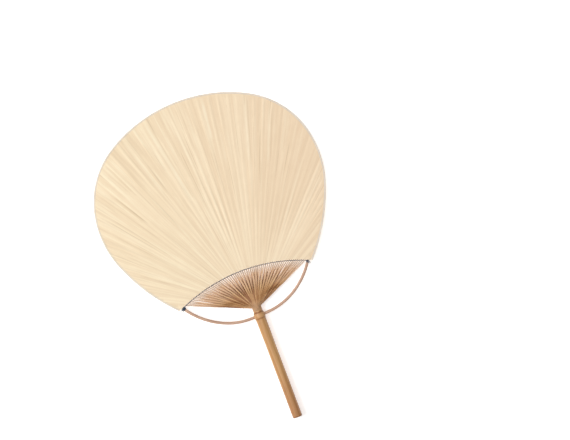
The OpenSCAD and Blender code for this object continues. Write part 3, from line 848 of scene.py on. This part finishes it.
# ------------------------------------------------------------------------ ribs
def rib_stations(s, q):
    """Corner points of rib s at the distances q, as on the CAD rib."""
    T, L = RIB_T_LEN[s], RIB_REACH[s]
    front = 1 if s % 2 == 0 else -1
    th, root, d, g = ring_theta(s), rib_root(s), rib_dir(s), slot_angle(s)
    q0 = cosd(th) ** 2 * 0.9 / (2 * g * (1 - UNEVEN))
    q2 = (WIDE[s] * (1 + BELLY / 2) + 0.04) / (g * (1 - 2 * UNEVEN))
    bend = smooth(-1.6, 2.4, q)
    dr = unit(np.array([0.0, 1.0]) * (1 - bend)[:, None] + d * bend[:, None])
    plan = np.where((q < 0)[:, None], root + np.stack([0 * q, q], -1), root + d * q[:, None])
    side = np.stack([dr[:, 1], -dr[:, 0]], -1)
    m = smooth(q0, q0 + 17, q)
    f = np.clip((q - q0) / (T - 3.2 - q0), 0, 1)
    z = RING_R * sind(th) * (1 + 0.12 * smooth(0, q0 + 0.01, q) * cosd(th) ** 2) * (1 - f) ** 1.25 * (1 - 0.25 * np.sin(PI * f)) \
        + 0.33 * smooth(0.55 * q0, q0 + 1, q) * (1 - smooth(min(q2, T - 17), min(q2 + 14, T - 3), q))
    tm = front * (th + (90 - th) * m)
    nv = np.stack([side[:, 0] * cosd(tm), side[:, 1] * cosd(tm), sind(tm)], -1)
    wv = np.stack([-side[:, 0] * sind(tm), -side[:, 1] * sind(tm), cosd(tm)], -1)
    b = RING_HALF + (RIB_T / 2 - RING_HALF) * smooth(q0 - 4, q0 + 10, q)
    b = b * (1 + 0.3 * smooth(q0 - 12, q0 - 4, q) * smooth(q0 + 9, q0 + 1, q) * smooth(3, 6, q))
    pitch = PI / SIDE_RIBS
    wi = ((RING_R - RING_HALF) * pitch - RING_GAP) / 2
    wo = ((RING_R + RING_HALF) * pitch - RING_GAP) / 2
    full = WIDE[s] / 2 * (1 + BELLY * (1 - smooth(0.55 * T, T, q)) - 0.25 * smooth(T, T + 150, q))
    full = full * (1 + (0.28 * smooth(T, T - 4, q) + 0.1) * smooth(0.38 * T, 0.6 * T, q) * smooth(T + 2, T + 0.5, q))
    mw = smooth(q0, q0 + 13, q)
    close = 1 + 0.32 * smooth(q0 - 2, q0 + 3, q) * smooth(q0 + 26, q0 + 12, q)
    ai = (wi + (full - wi) * mw) * close
    ao = (wo + (full - wo) * mw) * close
    c = np.stack([plan[:, 0], plan[:, 1], front * z], -1)
    return c, wv, nv, ai, ao, b, m


def rib_set(name, first, node, material):
    V, F, A, Tt = [], [], [], []
    count = 0
    # half section: across -1..1, radial -1..1, with rounded corners and a crowned skin
    sec = [(-1, -0.72), (-0.8, -1), (0.0, -1.04), (0.8, -1), (1, -0.72), (1, 0.0), (1, 0.7), (0.78, 0.97), (0.0, 1.06), (-0.78, 0.97), (-1, 0.7), (-1, 0.0)]
    for i in range(SIDE_RIBS):
        s = 2 * i + first
        T, L = RIB_T_LEN[s], RIB_REACH[s]
        near = min(T + 3, (T + L) / 2)
        q = np.concatenate([[SPLIT_Y - NECK_Y, -2.6, -1.6, -0.8, -0.2, 0.5, 1.2, 2.2, 3.4], np.linspace(0.09 * T, T - 3, 34), [T - 1.5, T, near],
                            np.linspace(near, L, 12)[1:]])
        c, wv, nv, ai, ao, b, m = rib_stations(s, q)
        # hand-split: the width and the line wander a little
        inside = smooth(6, 16, q) * smooth(T + 2, T - 6, q)
        wid = 1 + 0.04 * wave1(q / 9.0, 11 + s) * inside + 0.05 * (hash01(s, 3) - 0.5) * inside
        c = c + wv * (0.06 * wave1(q / 15.0, 71 + s) * inside)[:, None]
        sway = smooth(0.3 * T, 0.66 * T, q) * smooth(T - 1, T - 12, q)
        c = c + wv * ((0.27 * wave1(s * 0.62 + 0 * q, 91) + 0.12 * wave1(q / 30.0, 131 + s)) * sway)[:, None]
        tip = 1 - 0.45 * smooth(L - 3.0, L, q)
        ring = []
        for (x, y) in sec:
            a = (ai + (ao - ai) * (y * 0.5 + 0.5)) * wid * tip
            ring.append(c + (x * a)[:, None] * wv + (y * b * tip)[:, None] * nv * 0.985)
        R = np.stack(ring, 1)
        n = len(sec)
        V.append(R.reshape(-1, 3))
        F += tube_faces(len(q), n, count)
        al = np.zeros((len(q), n, 3))
        al[..., 0] = q[:, None]
        al[..., 1] = np.array([x * 0.34 + (0.8 if y < 0 else 0) for x, y in sec])[None]
        al[..., 2] = hash01(s, 17)
        A.append(al.reshape(-1, 3))
        Tt.append(np.repeat(q / T, n))
        count += len(q) * n
    make(name, np.vstack(V), F, node, material, {"rc": np.vstack(A), "tt": np.concatenate(Tt)}, 50)


rib_set("front_rib_spray", 0, "front_ribs", M_RIB_F)
rib_set("back_rib_spray", 1, "back_ribs", M_RIB_B_SHADED)


# ------------------------------------------------------------------------- bow
def bow_piece():
    sides = 24
    sr = np.linspace(0, MEET[True] + TONGUE, 130)
    sl = np.linspace(0, MEET[False] + TONGUE, 134)[1:]
    ctr, drn, hw, ht, run = [], [], [], [], []
    for right, ss in ((False, sl[::-1]), (True, sr)):
        for s_ in ss:
            p = bow_at(s_, right)
            d = bow_dir(max(s_, 0.5), right) * (1 if right else -1)
            u = s_ - MEET[right]
            tipr = 1 - 0.35 * smooth(TONGUE - 1.2, TONGUE, u)
            ctr.append(p)
            drn.append(d)
            hw.append(bow_half_w(u) * tipr)
            ht.append(bow_half_t(u) * (1 - 0.5 * smooth(TONGUE - 1.5, TONGUE, u)))
            run.append(s_ if right else -s_)
    ctr, drn, hw, ht, run = map(np.array, (ctr, drn, hw, ht, run))
    free = smooth(7, 10, abs(run)) * smooth(82, 70, abs(run))
    ctr = ctr + np.stack([-drn[:, 1], drn[:, 0]], -1) * (0.12 * wave1(run / 21.0, 5) * free)[:, None]
    a = (np.arange(sides) + 0.5) * 2 * PI / sides
    verts = []
    for i in range(len(run)):
        k = 1 + free[i] * (0.028 * wave2(np.cos(a) * 1.3 + run[i] / 7.0, np.sin(a) * 1.3, 8) + 0.02 * wave1(run[i] / 5.0, 9))
        x = np.array([drn[i, 1], -drn[i, 0], 0.0])
        ring = np.array([ctr[i, 0], ctr[i, 1], 0.0]) + (hw[i] * k * np.cos(a))[:, None] * x + (ht[i] * k * np.sin(a))[:, None] * np.array([0, 0, 1.0])
        verts.append(ring)
    V = np.vstack(verts)
    al = np.zeros((len(run), sides, 3))
    al[..., 0] = run[:, None]
    al[..., 1] = (1.3 * np.cos(a))[None]
    al[..., 2] = (1.3 * np.sin(a) / 3.0)[None]
    make("bent_bow", V, tube_faces(len(run), sides), "bow", M_BOW, {"rc": al.reshape(-1, 3)}, 45)


bow_piece()


# ------------------------------------------------------------ thread and ties
WEAVE_Z = RIB_T / 2 + THREAD_D / 2 + 0.02
WEAVE_OFF = THREAD_D / 2 + 0.02


def half_run(s): return (WIDE[s] / 2 + 0.13) / square_on(s)


def tie_psi(right):
    p = bow_at(MEET[right] - 1.3, right) - ARC_C
    return math.degrees(math.atan2(p[0], p[1]))


def weave_strand(first):
    R = THREAD_R + first * WEAVE_OFF
    zend = float(bow_half_t(-1)) + THREAD_D * 1.72
    psis, zs = [tie_psi(True), (PSI0 + tie_psi(True)) / 2], [first * zend, first * (zend + WEAVE_Z) / 2]
    for s in range(SLOTS):
        for e in (1, -1):
            psis.append(slot_psi(s) + e * half_run(s) / R * 180 / PI)
            zs.append(WEAVE_Z * first * (1 if s % 2 == 0 else -1))
    psis += [(PSI1 + tie_psi(False)) / 2, tie_psi(False)]
    zs += [-first * (zend + WEAVE_Z) / 2, -first * zend]
    psis, zs = np.array(psis), np.array(zs)
    dense, zz = [], []
    for i in range(len(psis) - 1):
        n = max(3, int(abs(psis[i + 1] - psis[i]) / 0.06))
        t = np.arange(n) / n
        dense.append(psis[i] + (psis[i + 1] - psis[i]) * t)
        zz.append(zs[i] + (zs[i + 1] - zs[i]) * smooth(0, 1, t))
    psi = np.r_[np.concatenate(dense), psis[-1]]
    z = np.r_[np.concatenate(zz), zs[-1]]
    p = on_arc(psi, R)
    P = np.column_stack([p, z])
    up = np.column_stack([sind(psi), cosd(psi), 0 * psi])
    Q, s, E = resample3(P, 0.19, up)
    return plied(Q, E, s, THREAD_D / 2 * 1.18, 1.5, 20 + first)


V, F, A = merge([weave_strand(1), weave_strand(-1)])
make("woven_thread", V, F, "weaving_thread", M_WEAVE, {"rc": A}, None)


def tie(right, name, node):
    pitch = THREAD_D * 1.1
    out = 1 if right else -1
    n = 30

    def fr(turn):
        s = MEET[right] - 0.35 - pitch * turn
        d = bow_dir(s, right)
        return bow_at(s, right), d, np.array([out * d[1], -out * d[0]]), float(bow_half_w(s - MEET[right])) + THREAD_D / 2 + 0.04, float(bow_half_t(s - MEET[right])) + THREAD_D / 2 + 0.04

    def tail(turn, w, l, z):
        p, d, wv, hw, ht = fr(turn)
        q = p + (hw + w) * wv + l * d
        return [q[0], q[1], z]
    if right:
        low = [[0.16, 0.03, -0.45], [0.6, -0.1, -0.8], [1.1, -0.7, -0.82], [1.3, -1.4, -0.6], [1.35, -2.1, -0.4]]
        high = [[0.16, -0.05, 0.45], [0.6, -0.1, 0.8], [1.1, 0.1, 0.86], [1.6, 0.4, 0.8], [2.0, 0.8, 0.7]]
    else:
        low = [[0.16, 0.03, -0.45], [0.6, 0.0, -0.8], [1.3, -0.15, -0.85], [2.1, -0.5, -0.7], [2.8, -1.0, -0.5]]
        high = [[0.16, -0.05, 0.45], [0.7, -0.1, 0.84], [1.6, 0.15, 0.92], [2.5, 0.55, 0.86], [3.2, 0.7, 0.8]]
    P, U = [], []
    a, b = fr(0), fr(TURNS)
    for i in range(4, -1, -1):
        P.append(tail(0, *low[i]))
        U.append([a[2][0], a[2][1], -0.4 if i == 0 else 1.6])
    for k in range(1, n * TURNS):
        p, d, wv, hw, ht = fr(k / n)
        t = 2 * PI * k / n
        jig = 1 + 0.02 * math.sin(k * 0.61) + 0.015 * math.sin(k * 1.7)
        q = p + hw * jig * math.cos(t) * wv
        P.append([q[0], q[1], ht * jig * math.sin(t)])
        U.append([math.cos(t) * wv[0], math.cos(t) * wv[1], math.sin(t)])
    for i in range(5):
        P.append(tail(TURNS, *high[i]))
        U.append([b[2][0], b[2][1], 0.4 if i == 0 else -1.6])
    Q, s, E = resample3(np.array(P), 0.16, np.array(U, float))
    # smooth the joins between winding and tails
    for _ in range(3):
        Q[1:-1] = 0.25 * Q[:-2] + 0.5 * Q[1:-1] + 0.25 * Q[2:]
    end = np.minimum(s, s[-1] - s)
    flare = 1 + 1.1 * smooth(0.9, 0.0, end)
    parts = [plied(Q, E, s, THREAD_D / 2, 1.3, 40 + out, flare=flare)]
    # the left end is lashed with more turns over the first ones
    for t0, t1, lift in (() if right else ((-0.6, 6.4, 0.4), (1.1, 4.9, 0.76))):
        L, W = [], []
        for k in np.linspace(t0, t1, int((t1 - t0) * n)):
            p, d, wv, hw, ht = fr(k)
            tuck = lift * (0.35 + 0.65 * float(smooth(t0, t0 + 0.5, k) * smooth(t1, t1 - 0.5, k))) + 0.03 * math.sin(k * 9.1)
            cc, sn = math.cos(2 * PI * k + 1.1), math.sin(2 * PI * k + 1.1)
            q = p + (hw + tuck) * cc * wv
            L.append([q[0], q[1], (ht + tuck) * sn])
            W.append([cc * wv[0], cc * wv[1], sn])
        Lq, ls, lu = resample3(np.array(L), 0.17, np.array(W))
        parts.append(plied(Lq, lu, ls, THREAD_D / 2, 1.3, 60 + int(lift * 10)))
    # the knot between the tails
    kx = np.array(tail(TURNS / 2, THREAD_D / 2 + 0.66, 0, 0))
    p, d, wv, hw, ht = fr(TURNS / 2)
    ex, ey, ez = np.array([wv[0], wv[1], 0.0]), np.array([d[0], d[1], 0.0]), np.array([0, 0, 1.0])
    t = np.linspace(0, 2 * PI, 121)
    R0, r0 = 0.46, 0.22
    K = kx + ((R0 + r0 * np.cos(3 * t)) * np.cos(2 * t))[:, None] * ey + ((R0 + r0 * np.cos(3 * t)) * np.sin(2 * t))[:, None] * ez * 0.9 + (1.5 * r0 * np.sin(3 * t))[:, None] * ex
    up = np.tile(ex, (len(K), 1)) + 0.01
    Kq, ks, ku = resample3(K, 0.12, up)
    parts.append(plied(Kq, ku, ks, THREAD_D / 2 * 0.86, 1.2, 50 + out))
    V, F, A = merge(parts)
    make(name, V, F, node, M_TIE, {"rc": A}, None)


tie(False, "left_tie_winding", "left_bow_tie")
tie(True, "right_tie_winding", "right_bow_tie")


# --------------------------------------------------------------------- handle
def handle():
    b = -HANDLE_LEN
    keys = np.array([[GRIP_R, b + 1.0 + GRIP_LEN], [5.22, -28], [5.35, -20], [5.42, -10], [5.45, -4.9], [5.62, -3.8], [5.9, -2.6], [6.03, -1.6],
                     [5.99, 0.0], [5.85, 1.4], [5.66, 2.3], [5.36, 2.9], [5.12, 3.4], [5.02, 4.2], [RING_R + RING_HALF, SPLIT_Y]])
    node_curve = catmull(keys[3:], 7)
    outer = [[GRIP_R - 0.8, b], [GRIP_R - 0.5, b + 0.05], [GRIP_R - 0.25, b + 0.28], [GRIP_R - 0.08, b + 0.62], [GRIP_R, b + 1.0]]
    outer += [[GRIP_R, y] for y in np.arange(b + 2.0, b + 1.0 + GRIP_LEN - 0.1, 1.6)]
    outer += [list(k) for k in catmull(keys[:4], 5)[:-1]]
    outer += [list(k) for k in node_curve]
    inner = [[RING_R - RING_HALF, SPLIT_Y], [RING_R - RING_HALF, 4.3], [RING_R - RING_HALF, 3.7], [3.2, 3.4], [1.6, 3.32], [0.02, 3.3],
             [0.02, 1.8], [1.4, 1.76], [2.6, 1.65], [BORE_R, 0.9], [BORE_R, -20], [BORE_R, -60], [BORE_R, b + 14], [BORE_R, b]]
    prof = np.array(outer + inner)
    n_out = len(outer)
    n = 120
    th = np.arange(n) * 2 * PI / n
    verts = []
    for i, (r, y) in enumerate(prof):
        rr = np.full(n, r)
        if i < n_out:
            free = float(smooth(b + 0.2, b + 3, y) * smooth(SPLIT_Y, SPLIT_Y - 1.2, y))
            rr = r + free * (0.035 * np.cos(2 * (th - 0.6)) + 0.03 * wave2(np.cos(th) * 2.2 + y / 30.0, np.sin(th) * 2.2, 3)
                             + 0.012 * wave2(th * 11 / PI, y / 26.0 + 0 * th, 4))
            # the sheath scar is ragged and the groove above it wanders
            rr += 0.06 * math.exp(-((y - 2.5) / 0.5) ** 2) * wave1(th * 9 / PI, 6)
            rr -= 0.10 * math.exp(-((y - 3.35) / 0.28) ** 2) * (1 + 0.5 * wave1(th * 13 / PI, 7))
            rr -= 0.05 * math.exp(-((y + 3.9) / 0.4) ** 2) * (1 + 0.6 * wave1(th * 7 / PI, 8))
            rr = np.minimum(rr, GRIP_R + 0.04) if y < -30 else rr
        verts.append(np.stack([rr * np.cos(th), np.full(n, y), rr * np.sin(th)], -1))
    V = np.vstack(verts)
    F = tube_faces(len(prof), n, 0, closed=True)
    ob = make("bamboo_culm", V, F, "handle_culm", M_CULM, None, 38)
    # cross-drilled hole for the bow
    bm = bmesh.new()
    bmesh.ops.create_cone(bm, cap_ends=True, segments=48, radius1=(BOW_D / 2 + 0.05) * MM, radius2=(BOW_D / 2 + 0.05) * MM, depth=16 * MM)
    me = bpy.data.meshes.new("hole_tool")
    bm.to_mesh(me)
    bm.free()
    cut = bpy.data.objects.new("hole_tool", me)
    bpy.context.collection.objects.link(cut)
    cut.matrix_world = Matrix.Translation((0, (NODE_Y + BOW_Y) * MM, 0)) @ Matrix.Rotation(math.radians(BOW_LEAN), 4, "Z") @ Matrix.Rotation(math.radians(90), 4, "Y")
    bpy.context.view_layer.update()
    mod = ob.modifiers.new("hole", "BOOLEAN")
    mod.object = cut
    mod.operation = "DIFFERENCE"
    mod.solver = "EXACT"
    bpy.context.view_layer.objects.active = ob
    ob.select_set(True)
    bpy.ops.object.modifier_apply(modifier="hole")
    bpy.data.objects.remove(cut)
    shade(ob.data, 38)

    # plug
    pr = [[0.02, b + 0.16], [1.6, b + 0.13], [2.6, b + 0.07], [BORE_R - 0.4, b + 0.02], [BORE_R - 0.18, b + 0.1], [BORE_R - 0.03, b + 0.34], [BORE_R - 0.02, b + 2],
          [BORE_R - 0.02, b + 12.6], [BORE_R - 0.4, b + 13.5], [BORE_R - 0.8, b + 13.9], [0.02, b + 13.95]]
    pr = np.array(pr)
    verts = []
    n = 72
    th = np.arange(n) * 2 * PI / n
    for r, y in pr:
        yy = y + (0.03 * wave2(np.cos(th) * r * 0.9, np.sin(th) * r * 0.9, 12) if y < b + 1 else 0 * th)
        verts.append(np.stack([r * np.cos(th), yy, r * np.sin(th)], -1))
    make("butt_plug", np.vstack(verts), tube_faces(len(pr), n, 0), "handle_plug", M_PLUG, None, 40)


handle()


# ---------------------------------------------------------------- edge binding
def binding():
    m = 760
    line, s = resample(RIM, m)
    tan = unit(np.gradient(line, axis=0))
    nrm = np.stack([-tan[:, 1], tan[:, 0]], -1)           # left of travel: outwards, since the line runs clockwise
    w_f = BIND_W + 0.04 + 0.11 * wave1(s / 23.0, 61) + 0.05 * wave1(s / 4.2, 62)
    w_b = BIND_W + 0.04 + 0.11 * wave1(s / 19.0, 63) + 0.05 * wave1(s / 4.7, 64)
    t = 0.1
    # small pleats where the straight strip is turned round the curve
    pl_f = 0.5 + 0.5 * wave1(s / 2.1, 65)
    pl_b = 0.5 + 0.5 * wave1(s / 2.3, 66)
    outer, inner = [], []
    ang = np.radians([90, 66, 40, 14, -14, -40, -66, -90])
    rim_h = RIM_Z - 0.02
    for k in range(m):
        zo = OUT_Z - 0.03
        prof_o = [(-w_f[k], zo - 0.02 + 0.018 * pl_f[k]), (-w_f[k] * 0.62, zo + 0.012 * pl_f[k]), (-0.45, zo - 0.01)]
        prof_o += [(-0.30 + 0.40 * math.cos(a), (zo - 0.02) * math.sin(a)) for a in ang]
        prof_o += [(-0.45, -zo + 0.01), (-w_b[k] * 0.62, -zo - 0.012 * pl_b[k]), (-w_b[k], -zo + 0.02 - 0.018 * pl_b[k])]
        prof_i = [(-w_f[k] + 0.01, zo - t), (-w_f[k] * 0.62, zo - t + 0.01), (-0.45, zo - t)]
        prof_i += [(-0.30 + 0.31 * math.cos(a), (zo - 0.02 - t) * math.sin(a)) for a in ang]
        prof_i += [(-0.45, -zo + t), (-w_b[k] * 0.62, -zo + t - 0.01), (-w_b[k] + 0.01, -zo + t)]
        ring = prof_o + prof_i[::-1]
        outer.append([(line[k, 0] + x * nrm[k, 0], line[k, 1] + x * nrm[k, 1], z) for x, z in ring])
    V = np.array(outer)
    n = V.shape[1]
    # mask for the painted shadow line at the strip's inner edges and the greyer turned rim
    edge_shade_grey = np.zeros((m, n))
    half = n // 2
    for j in range(half):
        edge_shade_grey[:, j] = 0.3 if 3 <= j <= half - 4 else 0.0
    edge_shade_grey[:, 0] = edge_shade_grey[:, half - 1] = 1.0
    make("rim_binding", V.reshape(-1, 3), tube_faces(m, n, 0), "edge_binding", M_BIND, {"edge_shade_grey": edge_shade_grey.ravel()}, 45)


binding()


# -------------------------------------------------------------- floor and light
def stage():
    slope = math.atan((6.05 - 0.52) / (317.4 - 72.9))
    me = bpy.data.meshes.new("studio_floor")
    h = 4.0
    me.from_pydata([(-h, -h, 0), (h, -h, 0), (h, h, 0), (-h, h, 0)], [], [(0, 1, 2, 3)])
    floor = bpy.data.objects.new("studio_floor", me)
    bpy.context.collection.objects.link(floor)
    # the fan lies on its node and on the far edge of the blade
    floor.matrix_world = Matrix.Translation((0, 0.0729, -0.00607)) @ Matrix.Rotation(slope, 4, "X")
    m = Mat("studio_white", rough=0.9, spec=0.1)
    m.bsdf.inputs["Base Color"].default_value = (0.93, 0.93, 0.93, 1)
    m.bsdf.inputs["Emission Color"].default_value = (1, 1, 1, 1)
    m.bsdf.inputs["Emission Strength"].default_value = 0.51
    me.materials.append(m.m)

    w = bpy.data.worlds.new("studio_world")
    w.use_nodes = True
    bg = w.node_tree.nodes["Background"]
    bg.inputs[0].default_value = (1.0, 0.985, 0.965, 1)
    bg.inputs[1].default_value = 0.28
    bpy.context.scene.world = w

    centre = Vector((0.0, 0.16, 0.0))
    left = Vector((-0.936, 0.352, 0.0))
    up = Vector((0.352, 0.936, 0.0))

    def area(name, direction, dist, size, power, color):
        li = bpy.data.lights.new(name, "AREA")
        li.shape = "SQUARE"
        li.size = size
        li.energy = power
        li.color = color
        ob = bpy.data.objects.new(name, li)
        bpy.context.collection.objects.link(ob)
        ob.location = centre + direction.normalized() * dist
        ob.rotation_euler = (centre - ob.location).to_track_quat("-Z", "Y").to_euler()

    area("key", left * 0.96 + up * 0.02 + Vector((0, 0, 1.15)), 2.1, 1.3, 34.0, (0.985, 0.99, 0.965))
    area("top_fill", left * 0.05 - up * 0.1 + Vector((0, 0, 1.0)), 2.2, 1.8, 9.2, (1.0, 0.985, 0.985))

    cam_d = bpy.data.cameras.new("camera")
    cam_d.type = "PERSP"
    cam_d.sensor_fit = "HORIZONTAL"
    cam_d.sensor_width = 36.0
    cam_d.lens = 100.0
    cam = bpy.data.objects.new("camera", cam_d)
    bpy.context.collection.objects.link(cam)
    # the photograph is 570 x 440 pixels at 1.06 mm a pixel, seen from straight above
    width = 570 * 1.06 * MM
    dist = width * cam_d.lens / cam_d.sensor_width
    target = Vector((60.70 * MM, (84.65 + NODE_Y) * MM, 0.0))
    zax = Vector((0, 0, 1))
    yax = Vector((0.35184, 0.93606, 0.0)).normalized()
    xax = yax.cross(zax)
    rot = Matrix((xax, yax, zax)).transposed().to_4x4()
    cam.matrix_world = Matrix.Translation(target + zax * dist) @ rot
    cam_d.clip_start = 0.05
    bpy.context.scene.camera = cam

    sc = bpy.context.scene
    sc.view_settings.view_transform = "Standard"
    sc.view_settings.look = "None"
    sc.view_settings.exposure = 0.0


stage()
